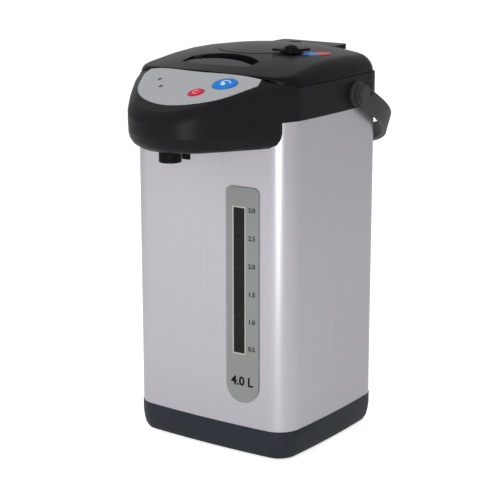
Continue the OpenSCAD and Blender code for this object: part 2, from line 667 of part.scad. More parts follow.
// Clear height over the board, square to it, below the beak's top at x
function over_board(x) = (board_drop - crown_fall * pow(abs(x) / 92, 3)) * cos(atan(beak_slope));
module control_panel() {
    color("#a5a6aa") difference() {
        intersection() {
            crown_slab(panel_proud - panel_t, panel_proud);
            translate([0, 0, beak_floor]) linear_extrude(120) panel_outline();
        }
        stand_on_crown(dispense_at, -8, button_turn) linear_extrude(20) oval(dispense_r, move_gap);
        stand_on_crown(reboil_at, -8, button_turn) linear_extrude(20) oval(reboil_r, move_gap);
        for (p = lamps_at) stand_on_crown(p, -8) cylinder(r = 2 + seat_gap, h = 20, $fn = 24);
    }
    color("#a5a6aa") on_board() for (p = peg_at) translate([p[0], p[1], 0.05])
        cylinder(r = 2.4, h = over_board(p[0]) + (panel_proud - panel_t) * cos(atan(beak_slope)) + 0.2, $fn = 24);
}
button_depth = 4.2;
module button(p, r) {
    stand_on_crown(p, -button_depth, button_turn) {
        linear_extrude(button_depth + panel_proud + 0.9) oval(r);
        linear_extrude(0.8) oval(r, 0.9);
    }
}
module dispense_button() { color("#1470c8") button(dispense_at, dispense_r); }
module reboil_button() { color("#c8143c") button(reboil_at, reboil_r); }
module indicator_lamps() {
    color("#c9c9c4") for (p = lamps_at) stand_on_crown(p, -5)
        cylinder(r = 2, h = 5 + panel_proud + 0.3, $fn = 24);
}
// Board below the panel, parallel to the beak's slope, with a switch under each button
board_drop = 15;
board_at = [0, -121];
module on_board() {
    translate([board_at[0], board_at[1], crown(board_at) - board_drop]) rotate([atan(beak_slope), 0, 0])
        children();
}
module control_board() {
    color("#2d6b3c") on_board() translate([-40, -21, -1.6]) cube([80, 36, 1.6]);
}
module button_switches() {
    color("#3a3c3e") for (p = [dispense_at, reboil_at])
        on_board() translate([p[0] * 0.96, (p[1] - board_at[1]) / cos(atan(beak_slope)), 0])
            cylinder(r = 2.5, h = over_board(p[0]) - button_depth - 1.8, $fn = 24);
}

// --- Handle -------------------------------------------------------------------------------------
boss_out = 2.9;
boss_sink = 0.4;
arm_x = hw + collar_proud + boss_out + 0.3;
module handle_bosses() {
    color("#1e2022") for (s = [-1, 1]) difference() {
        translate([s * (hw - boss_sink + 0.05), pivot_y, pivot_z]) rotate([0, s * 90, 0]) {
            cylinder(r = boss_r, h = boss_out + collar_proud + boss_sink - 0.05);
            cylinder(r = 5, h = arm_x + strap_t - hw + boss_sink - 0.05, $fn = 48);
        }
        translate([s * (hw - 20), pivot_y, pivot_z]) rotate([0, s * 90, 0])
            cylinder(r = 1.6, h = 60, $fn = 24);
        translate([s * (arm_x + strap_t - 1.4), pivot_y, pivot_z]) rotate([0, s * 90, 0])
            cylinder(r = 3.3, h = 5, $fn = 32);
    }
}
module handle_screws() {
    color("#8a8c90") for (s = [-1, 1]) translate([s * (hw - 8), pivot_y, pivot_z]) rotate([0, s * 90, 0]) {
        cylinder(r = 1.5, h = 8 + arm_x + strap_t - hw - 1.4, $fn = 24);
        translate([0, 0, 8 + arm_x + strap_t - hw - 1.4]) cylinder(r = 3.1, h = 1.1, $fn = 32);
    }
}
// Round covers over the pivots, one on each arm of the bail
module handle_caps() {
    color("#2e3032") for (s = [-1, 1]) translate([s * (arm_x + strap_t), pivot_y, pivot_z])
        rotate([0, s * 90, 0]) difference() {
            union() {
                cylinder(r = 9, h = 1.5);
                cylinder(r = 8, h = 2.4);
            }
            translate([0, 0, -1]) cylinder(r = 6, h = 1.6, $fn = 48);
        }
}
// The bail: a strap bent to a U, drawn flat and then laid into its rest pose
module handle() {
    x0 = arm_x;
    x1 = arm_x + strap_t;
    color("#26282a") translate([0, pivot_y, pivot_z]) rotate([-handle_rest, 0, 0]) difference() {
        union() {
            translate([0, 0, -strap_w / 2]) linear_extrude(strap_w) difference() {
                bail_outline(x1, handle_reach + strap_t / 2, handle_bend);
                bail_outline(x0, handle_reach - strap_t / 2, handle_bend - strap_t);
                translate([-x1 - 1, -2 * x1]) square([2 * x1 + 2, 2 * x1]);
            }
            for (s = [-1, 1]) translate([s * x0, 0, 0]) rotate([0, s * 90, 0])
                cylinder(r = strap_w / 2, h = strap_t);
        }
        for (s = [-1, 1]) translate([s * (x0 - 1), 0, 0]) rotate([0, s * 90, 0])
            cylinder(r = 5 + pin_gap, h = strap_t + 2, $fn = 48);
    }
}
module bail_outline(x, y, r) {
    translate([-x, -30]) square([2 * x, y + 30 - r]);
    translate([-x + r, 0]) square([2 * (x - r), y]);
    for (s = [-1, 1]) translate([s * (x - r), y - r]) circle(r);
}

// --- Hinge ----------------------------------------------------------------------------------------
knuckle_x = [-34, 34];
knuckle_w = 14;
ear_w = 7;
knuckle_r = 4.6;
EARS = [for (x = knuckle_x) each [x - knuckle_w / 2 - move_gap - ear_w, x + knuckle_w / 2 + move_gap]];
hinge_hw = knuckle_x[1] + knuckle_w / 2 + move_gap + ear_w;
module hinge_bracket() {
    color("#1e2022") difference() {
        union() {
            translate([-hinge_hw, hd + collar_proud + 0.1, hinge_z - 22])
                cube([2 * hinge_hw, hinge_y + knuckle_r - hd - collar_proud - 0.1, 22 - knuckle_r - 1]);
            for (x = EARS) translate([x, hinge_y, hinge_z]) {
                rotate([0, 90, 0]) cylinder(r = knuckle_r, h = ear_w);
                translate([0, -knuckle_r, -8]) cube([ear_w, 2 * knuckle_r, 8]);
            }
        }
        translate([-60, hinge_y, hinge_z]) rotate([0, 90, 0]) cylinder(r = hinge_pin_r + pin_gap, h = 120, $fn = 32);
    }
}
module hinge_pin() {
    color("#b8babc") translate([-hinge_hw, hinge_y, hinge_z]) rotate([0, 90, 0])
        cylinder(r = hinge_pin_r, h = 2 * hinge_hw, $fn = 32);
}
// The lid's two knuckles with their arms, screwed under the lid's rear edge
module hinge_arms() {
    color("#1e2022") for (x = knuckle_x) difference() {
        union() {
            translate([x - knuckle_w / 2, hinge_y, hinge_z]) rotate([0, 90, 0]) cylinder(r = knuckle_r, h = knuckle_w);
            translate([x - knuckle_w / 2, hd - 14, hinge_z - 1]) cube([knuckle_w, hinge_y - hd + 14, 5]);
        }
        translate([-60, hinge_y, hinge_z]) rotate([0, 90, 0]) cylinder(r = hinge_pin_r + pin_gap, h = 120, $fn = 32);
    }
}

// --- Lid ---------------------------------------------------------------------------------------------
// The solid below the lid's domed surface, lowered by d
module dome_cap(d) { translate([0, dome_y, crest_z - dome_r]) sphere(dome_r - d, $fn = 256); }
function dome_normal(p) = [p[0], p[1] - dome_y, dome(p) - crest_z + dome_r] / dome_r;
module stand_on_dome(p, up = 0) {
    n = dome_normal(p);
    translate(concat(p, [dome(p)]) + up * n) rotate([0, acos(n[2]), atan2(n[1], n[0])]) children();
}
rim_z = [for (i = ALL) SEAM[i] + move_gap];
RISE = [for (i = ALL) dome(LID[i]) - rim_z[i]];
ROUND = [for (i = ALL) min(lid_round, max(1.2, RISE[i]))];
function lid_edge(i, t, d, sink) =
    let (p = inset(LID[i], d + (ROUND[i] - 0) * (1 - cos(t))))
    concat(p, [dome(p) - (dome(p) - rim_z[i]) * (1 - sin(t)) - sink * sin(t)]);
function lid_in(i, k, d, sink) =
    let (e = inset(LID[i], d + ROUND[i]), p = e * k) concat(p, [dome(p) - sink]);
module lid_skin() {
    rings(concat(
        [for (k = [0.35, 0.7]) [for (i = ALL) lid_in(i, k, wall, wall)]],
        [for (t = [90, 60, 30, 0]) [for (i = ALL) lid_edge(i, t, wall, wall)]],
        [for (t = [0, 18, 36, 54, 72, 90]) [for (i = ALL) lid_edge(i, t, 0, 0)]],
        [for (k = [0.85, 0.7, 0.5, 0.25]) [for (i = ALL) lid_in(i, k, 0, 0)]]),
        [[0, 0, dome([0, 0]) - wall], [0, 0, dome([0, 0])]]);
}
// The lid's outline moved inwards by d, with a straight front that stays over the pot
module lid_plan(d) {
    intersection() {
        polygon([for (p = LID) inset(p, d)]);
        translate([-100, -hd + 2 + d]) square([200, 2 * hd + 20]);
    }
}
// The room under the lid's skin into which a pocket of plan outline is set
module seat() {
    intersection() {
        translate([0, 0, crest_z - 27]) linear_extrude(27) children();
        dome_cap(wall + 0.05);
    }
}
knob_at = [43.5, -4.6];
vent_at = [0, 68];
plate_at = [0, 9];
// Plan of the pump plate, grown by d, with the notch that goes round the knob
module plate_outline(d = 0) {
    difference() {
        translate(plate_at) circle(plate_r + d, $fn = 128);
        translate(knob_at) circle(knob_r + 1.5 - d);
    }
}
// Plan of the finger recess between a strongly curved rear arc and a wide front arc
recess_hw = 39.5;
module recess_outline(d = 0) {
    intersection() {
        translate([0, -106.8]) circle(66.8 + d, $fn = 128);
        translate([0, 40]) circle(118 + d, $fn = 256);
        translate([-recess_hw - d, -100]) square([2 * (recess_hw + d), 80]);
    }
}
// Plan of the latch lever, which fills the front of the recess
module lever_outline() {
    intersection() {
        translate([0, -142.6]) circle(89, $fn = 180);
        translate([0, 40]) circle(116.3, $fn = 256);
        translate([-recess_hw + 0.5, -100]) square([2 * recess_hw - 1, 80]);
    }
}
tab_front = hd - 9;
module lid_cover() {
    color("#2a2c2e") difference() {
        lid_skin();
        translate([0, 0, seam_z]) linear_extrude(60) plate_outline(move_gap);
        translate([0, 0, seam_z]) linear_extrude(60) recess_outline();
        stand_on_dome(knob_at, -15) cylinder(r = 5 + move_gap, h = 30);
        stand_on_dome(vent_at, -10) cylinder(r = vent_r + 0.1, h = 20, $fn = 32);
        seat() recess_outline(1.7);
        seat() plate_outline(2.3);
        // notch for the release tab and room for the hinge arms
        translate([-tab_hw - move_gap, tab_front - move_gap, tab_top - tab_t - move_gap])
            cube([2 * (tab_hw + move_gap), 60, 20]);
        for (x = knuckle_x) translate([x - knuckle_w / 2 - move_gap, hd - 16, seam_z - 5])
            cube([knuckle_w + 2 * move_gap, 40, 13]);
    }
}
module latch_pocket() {
    color("#1a1b1d") difference() {
        intersection() {
            translate([0, 0, crest_z - 25]) linear_extrude(24) recess_outline(1.6);
            dome_cap(wall + 0.15);
        }
        translate([0, 0, crest_z - 23]) linear_extrude(30) recess_outline(0);
        translate([-60, latch_y, latch_z]) rotate([0, 90, 0]) cylinder(r = 1 + pin_gap, h = 120, $fn = 24);
    }
}
module pump_well() {
    color("#1a1b1d") difference() {
        intersection() {
            translate([0, 0, lid_plate_z + lid_plate_t]) linear_extrude(32) plate_outline(2.2);
            dome_cap(wall + 0.15);
        }
        translate([0, 0, lid_plate_z]) linear_extrude(60) plate_outline(1);
    }
}
lid_plate_z = seam_z - 6;
lid_plate_t = 2.4;
stopper_r = 72;
module lid_base() {
    color("#d9d7d0") difference() {
        union() {
            translate([0, 0, lid_plate_z]) linear_extrude(seam_z + 1.8 - lid_plate_z) lid_plan(wall + 0.5);
            translate([0, 0, pot_rim - 6]) difference() {
                cylinder(r = stopper_r, h = lid_plate_z - pot_rim + 6.1, $fn = 96);
                translate([0, 0, -1]) cylinder(r = stopper_r - 2, h = lid_plate_z - pot_rim + 4, $fn = 96);
            }
        }
        translate([0, 0, lid_plate_z + lid_plate_t]) linear_extrude(20) lid_plan(wall + 2.1);
    }
}
module inner_cover_plate() {
    color("#b9bcbf") translate([0, 0, pot_rim - 7.2]) difference() {
        cylinder(r = stopper_r, h = 1.2, $fn = 96);
        translate([0, 0, -1]) cylinder(r = 4, h = 4, $fn = 32);
    }
}
module lid_gasket() {
    color("#d8d8d4") translate([0, 0, pot_rim + 0.3]) difference() {
        cylinder(r = mouth_r - 1.2, h = 3.2, $fn = 96);
        translate([0, 0, -1]) cylinder(r = stopper_r, h = 6, $fn = 96);
    }
}
module pump_plate() {
    color("#2a2c2e") difference() {
        intersection() {
            dome_cap(-0.2);
            translate([0, 0, crest_z - 10]) linear_extrude(20) plate_outline();
        }
        translate([0, 0, crest_z - 14]) linear_extrude(14 - plate_t) plate_outline(-2);
    }
}
bellows_low = lid_plate_z + lid_plate_t;
bellows_high = crest_z - plate_t;
module pump_bellows() {
    n = 4;
    h = (bellows_high - bellows_low) / n;
    color("#3a3c3e") translate([-8, 6, bellows_low]) rotate_extrude($fn = 48) polygon(concat(
        [[0, 0]], [for (i = [0:n - 1]) each [[22, i * h + 0.2], [17, i * h + h / 2], [22, (i + 1) * h - 0.2]]],
        [[0, n * h - 0.2]]));
}
module lock_knob() {
    color("#1c1d1f") stand_on_dome(knob_at, 0.9) {
        cylinder(r = knob_r, h = 1.1);
        // two wings, then the round grip between them
        translate([0, 0, 0.5]) linear_extrude(2.3) intersection() {
            translate([0, 36]) circle(41, $fn = 180);
            translate([0, -36]) circle(41, $fn = 180);
            circle(19, $fn = 96);
        }
        translate([0, 0, 0.5]) intersection() {
            cylinder(r = 7.3, h = 8);
            translate([0, 0, -6.4]) sphere(10.6);
        }
        translate([0, 0, -9]) cylinder(r = 5, h = 9.5, $fn = 48);
    }
}
latch_y = -70;
latch_z = dome([0, latch_y]) - 6;
module latch_lever() {
    color("#5a5d60") difference() {
        intersection() {
            dome_cap(1.6);
            translate([0, 0, latch_z - 2]) linear_extrude(20) lever_outline();
        }
        translate([-60, latch_y, latch_z]) rotate([0, 90, 0]) cylinder(r = 1 + pin_gap, h = 120, $fn = 24);
    }
}
module latch_pin() {
    color("#b8babc") translate([-recess_hw - 1.5, latch_y, latch_z]) rotate([0, 90, 0]) cylinder(r = 1, h = 2 * recess_hw + 3, $fn = 24);
}
tab_t = 5;
tab_hw = 39.3;
tab_top = crest_z - 5.5;
tab_rear = hd + 18.5;
// A flat tab that turns on its round front edge
module release_tab() {
    color("#1c1d1f") translate([0, 0, tab_top - tab_t]) {
        translate([-tab_hw, tab_front + tab_t / 2, tab_t / 2]) rotate([0, 90, 0])
            cylinder(r = tab_t / 2 - 0.2, h = 2 * tab_hw);
        linear_extrude(tab_t) {
            translate([-tab_hw, tab_front + tab_t / 2]) square([2 * tab_hw, tab_rear - tab_front - tab_t / 2 - 5]);
            translate([-tab_hw + 5, tab_rear - 6]) square([2 * tab_hw - 10, 6]);
            for (s = [-1, 1]) translate([s * (tab_hw - 5), tab_rear - 5]) circle(5, $fn = 32);
        }
    }
}
vent_r = 6;
module steam_vent() {
    color("#1a1b1d") stand_on_dome(vent_at, -4) difference() {
        cylinder(r = vent_r, h = 4.6, $fn = 32);
        for (i = [-1:1]) translate([-3.5, i * 3.2 - 0.6, -1]) cube([7, 1.2, 8]);
    }
}

base_housing();
bottom_plate();
foot_ring();
base_screws();
power_inlet();
inlet_pins();
outer_shell();
gauge_panel();
gauge_lens();
gauge_tube();
tube_fittings();
level_float();
inner_pot();
pot_seal_ring();
insulation_jacket();
band_heater();
heater_plate();
thermostats();
pump_motor();
pump_housing();
pump_impeller();
inlet_hose();
outlet_hose();
power_board();
shoulder();
beak_cover();
nozzle();
spout_tube();
cup_lever();
lever_bracket();
lever_pin();
control_panel();
dispense_button();
reboil_button();
indicator_lamps();
control_board();
button_switches();
handle_bosses();
handle_screws();
handle();
handle_caps();
hinge_bracket();
hinge_pin();
hinge_arms();
lid_cover();
latch_pocket();
pump_well();
lid_base();
inner_cover_plate();
lid_gasket();
pump_plate();
pump_bellows();
lock_knob();
latch_lever();
latch_pin();
release_tab();
steam_vent();
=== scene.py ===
# %% [markdown]
# # An electric thermo pot, dressed in Blender
# The pot's exact solids come from CAD. This lesson loads them as a fixed frame, gives each
# one the finish of the real product, and adds what a solid can't carry: smooth shading, soft
# edges, the printed scale and the pictograms. Everything is in metres: X across the pot,
# -Y to its front, Z up.

import json
from math import asin, cos, pi, radians, sin, sqrt

import bmesh
import bpy
from mathutils import Matrix, Vector

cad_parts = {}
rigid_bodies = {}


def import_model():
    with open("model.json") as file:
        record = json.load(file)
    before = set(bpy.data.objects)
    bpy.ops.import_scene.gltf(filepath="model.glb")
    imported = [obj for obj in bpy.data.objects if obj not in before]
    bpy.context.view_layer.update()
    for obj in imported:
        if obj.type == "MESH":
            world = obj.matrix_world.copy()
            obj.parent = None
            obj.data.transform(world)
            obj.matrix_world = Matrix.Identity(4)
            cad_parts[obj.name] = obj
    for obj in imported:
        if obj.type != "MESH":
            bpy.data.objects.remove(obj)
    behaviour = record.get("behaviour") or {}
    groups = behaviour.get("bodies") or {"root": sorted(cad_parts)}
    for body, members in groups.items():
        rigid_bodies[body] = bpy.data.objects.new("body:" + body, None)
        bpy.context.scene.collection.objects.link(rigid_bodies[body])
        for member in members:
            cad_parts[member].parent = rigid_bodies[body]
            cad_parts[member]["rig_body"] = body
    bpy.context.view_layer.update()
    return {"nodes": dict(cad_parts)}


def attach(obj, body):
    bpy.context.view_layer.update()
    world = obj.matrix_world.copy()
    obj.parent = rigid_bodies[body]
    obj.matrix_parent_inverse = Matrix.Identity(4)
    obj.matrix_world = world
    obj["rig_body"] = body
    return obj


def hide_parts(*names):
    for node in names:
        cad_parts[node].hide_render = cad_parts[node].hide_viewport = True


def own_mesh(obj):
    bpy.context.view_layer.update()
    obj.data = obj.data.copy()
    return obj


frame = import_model()
NODES = frame["nodes"]
MM = 0.001

# %% [markdown]
# ## Camera
# The photograph was taken from the pot's front right, a little above it, with a long lens.
# Its place was fitted to the upright edges, the base's corners and the lid's seam. A long
# lens from far away keeps the upright edges almost parallel, as in a catalogue picture.

# %% Camera
LENS_MM, SENSOR_MM = 115.2, 36
CAMERA_AT, CAMERA_TURN, CAMERA_TILT = (0.9072, -1.30186, 0.58369), 35.13, 75.96
camera_data = bpy.data.cameras.new("photo_camera")
camera_data.lens, camera_data.sensor_width = LENS_MM, SENSOR_MM
camera = bpy.data.objects.new("photo_camera", camera_data)
bpy.context.scene.collection.objects.link(camera)
turned = Matrix.Rotation(radians(CAMERA_TURN), 4, "Z") @ Matrix.Rotation(radians(CAMERA_TILT), 4, "X")
camera.matrix_world = Matrix.Translation(CAMERA_AT) @ turned
bpy.context.scene.camera = camera
print("camera at", tuple(round(v, 3) for v in camera.matrix_world.translation))

# %% [markdown]
# ## Shader maths as Python
# A material in Blender is a small graph of nodes. Wiring them by hand is long-winded, so one
# small class wraps a socket: adding or multiplying two of them adds the Math node that does
# it. One method of the finish makes any other node.


# %% A socket that takes part in sums
class Wire:
    """An output socket of a shader graph. Sums with it add Math nodes."""

    def __init__(self, graph, socket):
        self.graph, self.socket = graph, socket

    def _math(self, operation, *values):
        return self.graph.node("ShaderNodeMath", {"operation": operation}, *values)

    def __add__(self, other):
        return self._math("ADD", self, other)

    def __mul__(self, other):
        return self._math("MULTIPLY", self, other)

    __radd__ = __add__
    __rmul__ = __mul__


# %% A finish: a material with its Principled shader
class Finish:
    """A new material. Its node() makes any node; its skin is the Principled shader."""

    def __init__(self, name):
        self.material = bpy.data.materials.new(name)
        self.material.use_nodes = True
        self.nodes = self.material.node_tree.nodes
        self.links = self.material.node_tree.links
        self.skin = self.nodes["Principled BSDF"]

    def plug(self, socket, value):
        if isinstance(value, Wire):
            self.links.new(value.socket, socket)
        else:
            socket.default_value = value

    def node(self, kind, settings=None, *values, output=0, **named):
        made = self.nodes.new(kind)
        for key, value in (settings or {}).items():
            setattr(made, key, value)
        for socket, value in zip(made.inputs, values):
            self.plug(socket, value)
        for key, value in named.items():
            self.plug(made.inputs[key.replace("_", " ")], value)
        return Wire(self, made.outputs[output])

    def set(self, **named):
        for key, value in named.items():
            self.plug(self.skin.inputs[key.replace("_", " ")], value)
        return self

    def place(self, scale):
        """The piece's own Object coordinates, stretched by scale."""
        spot = self.node("ShaderNodeTexCoord", output="Object")
        return self.node("ShaderNodeMapping", None, spot, Scale=scale)

    def noise(self, scale, detail=2.0, stretch=(1, 1, 1), rough=0.5):
        return self.node(
            "ShaderNodeTexNoise", None, self.place(stretch), Scale=scale, Detail=detail, Roughness=rough
        )

    def blend(self, factor, first, second):
        """Mixes two colours. The Mix node has a set of sockets for each kind of data: 0 is
        the factor, 6 and 7 are the colours, and 2 is the colour that comes out."""
        made = self.nodes.new("ShaderNodeMix")
        made.data_type = "RGBA"
        for socket, value in zip((0, 6, 7), (factor, first, second)):
            self.plug(made.inputs[socket], value)
        return Wire(self, made.outputs[2])

    def bump(self, height, depth, strength=1.0):
        return self.node("ShaderNodeBump", None, Strength=strength, Distance=depth, Height=height)


def rgb(red, green, blue):
    """An sRGB colour of 0 to 255 as Blender's linear values, with an alpha of 1."""
    shares = [c / 255 for c in (red, green, blue)]
    linear = [c / 12.92 if c <= 10 / 255 else ((c + 0.055) / 1.055) ** 2.4 for c in shares]
    return (*linear, 1)


def dimmed(shade, share):
    """A linear colour times share, which stays at most white."""
    return (*(min(1.0, share * c) for c in shade[:3]), 1)


FINISHES = {}

# %% [markdown]
# ## Black plastic
# The collar, the beak, the lid, the base and the handle are satin ABS with a very fine spark
# texture: it is nearly black face on and turns pale where it is seen at a glancing angle.
# The texture is noise of half a millimetre in a Bump node, and a second, larger noise
# varies the gloss a little, as on a real moulding.


# %% Black plastics, from satin to matt
def black_plastic(name, shade, gloss, grain=0.03 * MM, specular=0.3, cool=0):
    """shade and cool are sRGB steps of 255. cool moves the shade from red to blue."""
    finish = Finish(name)
    cloud = finish.noise(18, 3)
    spark = finish.noise(2400, 2)
    dark = rgb(shade - cool, shade, shade + 2 + cool)
    light = rgb(shade + 6 - cool, shade + 6, shade + 9 + cool)
    finish.set(
        Base_Color=finish.blend(cloud, dark, light),
        Roughness=gloss + cloud * 0.08,
        Specular_IOR_Level=specular,
        Normal=finish.bump(spark, grain, 0.6),
    )
    FINISHES[name] = finish.material


black_plastic("lid_plastic", 14, 0.26, specular=0.1)
black_plastic("collar_plastic", 20, 0.34, 0.04 * MM, 0.12)
black_plastic("base_plastic", 38, 0.4, 0.05 * MM, 0.2, 5)
black_plastic("handle_plastic", 54, 0.4, 0.04 * MM, 0.25)
black_plastic("knob_plastic", 8, 0.28, specular=0.1)
black_plastic("deep_plastic", 8, 0.5, specular=0.1)

# %% [markdown]
# ## Brushed steel
# The body is a wrapped sheet of stainless steel, brushed in one direction and lacquered.
# Noise that is squeezed along the brushing makes the hairlines: they vary the roughness and
# the colour, and a shallow bump breaks up the reflections.


# %% Steels
def brushed(name, shade, stretch, gloss=0.34, metal=0.75, depth=0.012 * MM):
    finish = Finish(name)
    hair = finish.noise(1, 4, stretch, 0.6)
    fine = finish.noise(1, 2, tuple(3 * s for s in stretch), 0.6)
    lines = hair * 0.6 + fine * 0.4
    finish.set(
        Base_Color=finish.blend(lines, dimmed(shade, 0.86), dimmed(shade, 1.1)),
        Metallic=metal,
        Roughness=gloss - 0.08 + lines * 0.16,
        Normal=finish.bump(lines, depth, 0.5),
    )
    FINISHES[name] = finish.material


brushed("body_steel", rgb(197, 195, 201), (900, 900, 12), 0.3)
brushed("pot_steel", rgb(196, 197, 198), (12, 12, 700), 0.3, 0.95)
brushed("pin_steel", rgb(190, 192, 195), (500, 60, 60), 0.28, 1.0)
brushed("heater_brass", rgb(186, 150, 96), (300, 300, 30), 0.4, 1.0)


# %% [markdown]
# ## Greys, colours, glass and rubber
# Printed panels, buttons, seals and the gauge's window are plain mouldings. Each still gets a
# faint unevenness of colour and gloss, because a perfectly even surface looks like a drawing.


# %% Plain mouldings
def moulded(name, shade, gloss, specular=0.5, grain=0.02 * MM, size=1600, **more):
    finish = Finish(name)
    cloud = finish.noise(30, 3)
    finish.set(
        Base_Color=finish.blend(cloud, dimmed(shade, 0.93), shade),
        Roughness=gloss + cloud * 0.06,
        Specular_IOR_Level=specular,
        Normal=finish.bump(finish.noise(size, 2), grain, 0.4),
        **more,
    )
    FINISHES[name] = finish.material


moulded("panel_grey", rgb(168, 169, 173), 0.4)
moulded("gauge_grey", rgb(134, 137, 135), 0.42)
moulded("button_blue", rgb(2, 118, 208), 0.25, 0.3)
moulded("button_red", rgb(206, 16, 56), 0.25, 0.3)
# The float's red emission is a painted glow: the float is no lamp, but it glows so that it shows
# through the dark window.
moulded("float_red_painted_glow", rgb(214, 22, 40), 0.35, Emission_Color=rgb(230, 10, 30), Emission_Strength=0.9)
moulded("print_cream", rgb(206, 204, 190), 0.5)
moulded("print_black", rgb(12, 12, 14), 0.6, 0.1)
moulded("milk_white", rgb(226, 224, 216), 0.4)
moulded("soft_rubber", rgb(24, 24, 25), 0.7, 0.25)
moulded("pale_silicone", rgb(208, 206, 198), 0.45)
moulded("felt", rgb(44, 45, 47), 0.95, 0.1, 0.4 * MM, 500)
moulded("mica", rgb(52, 50, 48), 0.6)
moulded("print_sky", rgb(186, 228, 252), 0.5)
moulded("print_rose", rgb(250, 150, 172), 0.5)
moulded("board_green", rgb(30, 96, 48), 0.5)
moulded("lamp_clear", rgb(84, 84, 82), 0.3, 0.4)

# %% [markdown]
# The gauge's window is tinted and its tube is clear. Both are thin, so Alpha stands for them
# better than refraction: lamps shine through, and the red float shows behind them. The
# window's dark colour and high Alpha are partly its own tint and partly painted shade of the
# dark body behind it, and the float shows through it by a painted glow.


# %% See-through parts
def clear_part(name, shade, cover, gloss):
    finish = Finish(name)
    rough = gloss + finish.noise(60, 2) * 0.03
    finish.set(Base_Color=shade, Roughness=rough, Alpha=cover, Specular_IOR_Level=0.2)
    FINISHES[name] = finish.material


clear_part("tube_glass", rgb(200, 206, 206), 0.12, 0.05)
# The window's dark colour and high Alpha are partly its tint and partly painted shade of the body's
# dark inside.
clear_part("window_tint_and_painted_shade", rgb(26, 26, 25), 0.84, 0.2)
print("finishes:", len(FINISHES))

# %% [markdown]
# ## Dressing a solid
# A CAD solid arrives as loose flat triangles, which would show as facets. A copy is merged,
# its tiny coplanar triangles are dissolved, and it is shaded smooth up to a limiting angle.
# A real moulding has no knife edges either, so a Bevel modifier gives each sharp edge a
# radius of a few tenths of a millimetre, which catches the light. A form that is all curves,
# or too thin for it, gets none, and a Weighted Normal modifier evens its shading instead.

# %% Limits of the dressing
WELD, SLIVER = 0.002 * MM, 0.001 * MM
FLAT_ANGLE, SHARP_ANGLE = radians(0.4), radians(32)
EDGE_STEPS, FACE_WEIGHT = 2, 80


# %% Dress a node
def dress(node, finish, edge):
    """A smooth copy of a CAD node that stands for it. edge is the radius of its edges in mm."""
    mesh = bpy.data.meshes.new(node + "_dressed")
    work = bmesh.new()
    work.from_mesh(NODES[node].data)
    bmesh.ops.remove_doubles(work, verts=work.verts, dist=WELD)
    bmesh.ops.dissolve_degenerate(work, edges=work.edges, dist=SLIVER)
    bmesh.ops.dissolve_limit(work, angle_limit=FLAT_ANGLE, verts=work.verts, edges=work.edges)
    work.to_mesh(mesh)
    work.free()
    piece = bpy.data.objects.new(mesh.name, mesh)
    bpy.context.scene.collection.objects.link(piece)
    mesh.shade_smooth()
    mesh.set_sharp_from_angle(angle=SHARP_ANGLE)
    mesh.materials.append(FINISHES[finish])
    if edge:
        rounding = piece.modifiers.new("soft_edge", "BEVEL")
        rounding.width, rounding.segments = edge * MM, EDGE_STEPS
        rounding.limit_method, rounding.angle_limit = "ANGLE", SHARP_ANGLE
        rounding.harden_normals = True
    else:
        even = piece.modifiers.new("even_shading", "WEIGHTED_NORMAL")
        even.keep_sharp, even.weight = True, FACE_WEIGHT
    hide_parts(node)
    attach(piece, NODES[node]["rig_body"])
    return piece


DRESSED = [
    ("base_housing", "base_plastic", 0.3),
    ("bottom_plate", "deep_plastic", 0.2),
    ("foot_ring", "soft_rubber", 0.4),
    ("base_screws", "pin_steel", 0.1),
    ("power_inlet", "deep_plastic", 0.3),
    ("inlet_pins", "pin_steel", 0.2),
    ("outer_shell", "body_steel", 0.0),
    ("gauge_panel", "gauge_grey", 0.25),
    ("gauge_lens", "window_tint_and_painted_shade", 0.0),
    ("shoulder", "collar_plastic", 0.0),
    ("beak_cover", "collar_plastic", 0.0),
    ("nozzle", "deep_plastic", 0.4),
    ("cup_lever", "deep_plastic", 0.3),
    ("control_panel", "panel_grey", 0.2),
    ("dispense_button", "button_blue", 0.35),
    ("reboil_button", "button_red", 0.35),
    ("indicator_lamps", "lamp_clear", 0.2),
    ("handle_bosses", "handle_plastic", 0.6),
    ("handle", "handle_plastic", 1.2),
    ("handle_caps", "handle_plastic", 0.5),
    ("hinge_bracket", "collar_plastic", 0.3),
    ("hinge_pin", "pin_steel", 0.1),
    ("hinge_arms", "collar_plastic", 0.3),
    ("lid_cover", "lid_plastic", 0.0),
    ("latch_pocket", "deep_plastic", 0.0),
    ("pump_well", "deep_plastic", 0.0),
    ("lid_base", "collar_plastic", 0.3),
    ("inner_cover_plate", "pot_steel", 0.2),
    ("lid_gasket", "pale_silicone", 0.4),
    ("pump_plate", "lid_plastic", 0.3),
    ("lock_knob", "knob_plastic", 0.3),
    ("latch_lever", "handle_plastic", 0.3),
    ("latch_pin", "pin_steel", 0.0),
    ("release_tab", "knob_plastic", 0.6),
    ("steam_vent", "knob_plastic", 0.15),
    ("inner_pot", "pot_steel", 0.0),
    ("pot_seal_ring", "pale_silicone", 0.2),
    ("handle_screws", "pin_steel", 0.0),
    ("lever_bracket", "deep_plastic", 0.2),
    ("pump_bellows", "soft_rubber", 0.0),
]
dressed = {node: dress(node, finish, edge) for node, finish, edge in DRESSED}
print("dressed nodes:", len(dressed))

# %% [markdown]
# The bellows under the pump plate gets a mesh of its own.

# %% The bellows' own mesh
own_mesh(dressed["pump_bellows"])

# %% [markdown]
# ## Pieces inside the body
# The heater, the pump, the hoses and the boards can't be seen from outside, and the gauge's
# tube and float show only dimly through the window. Their solids are right as they are, so
# each only gets its finish.

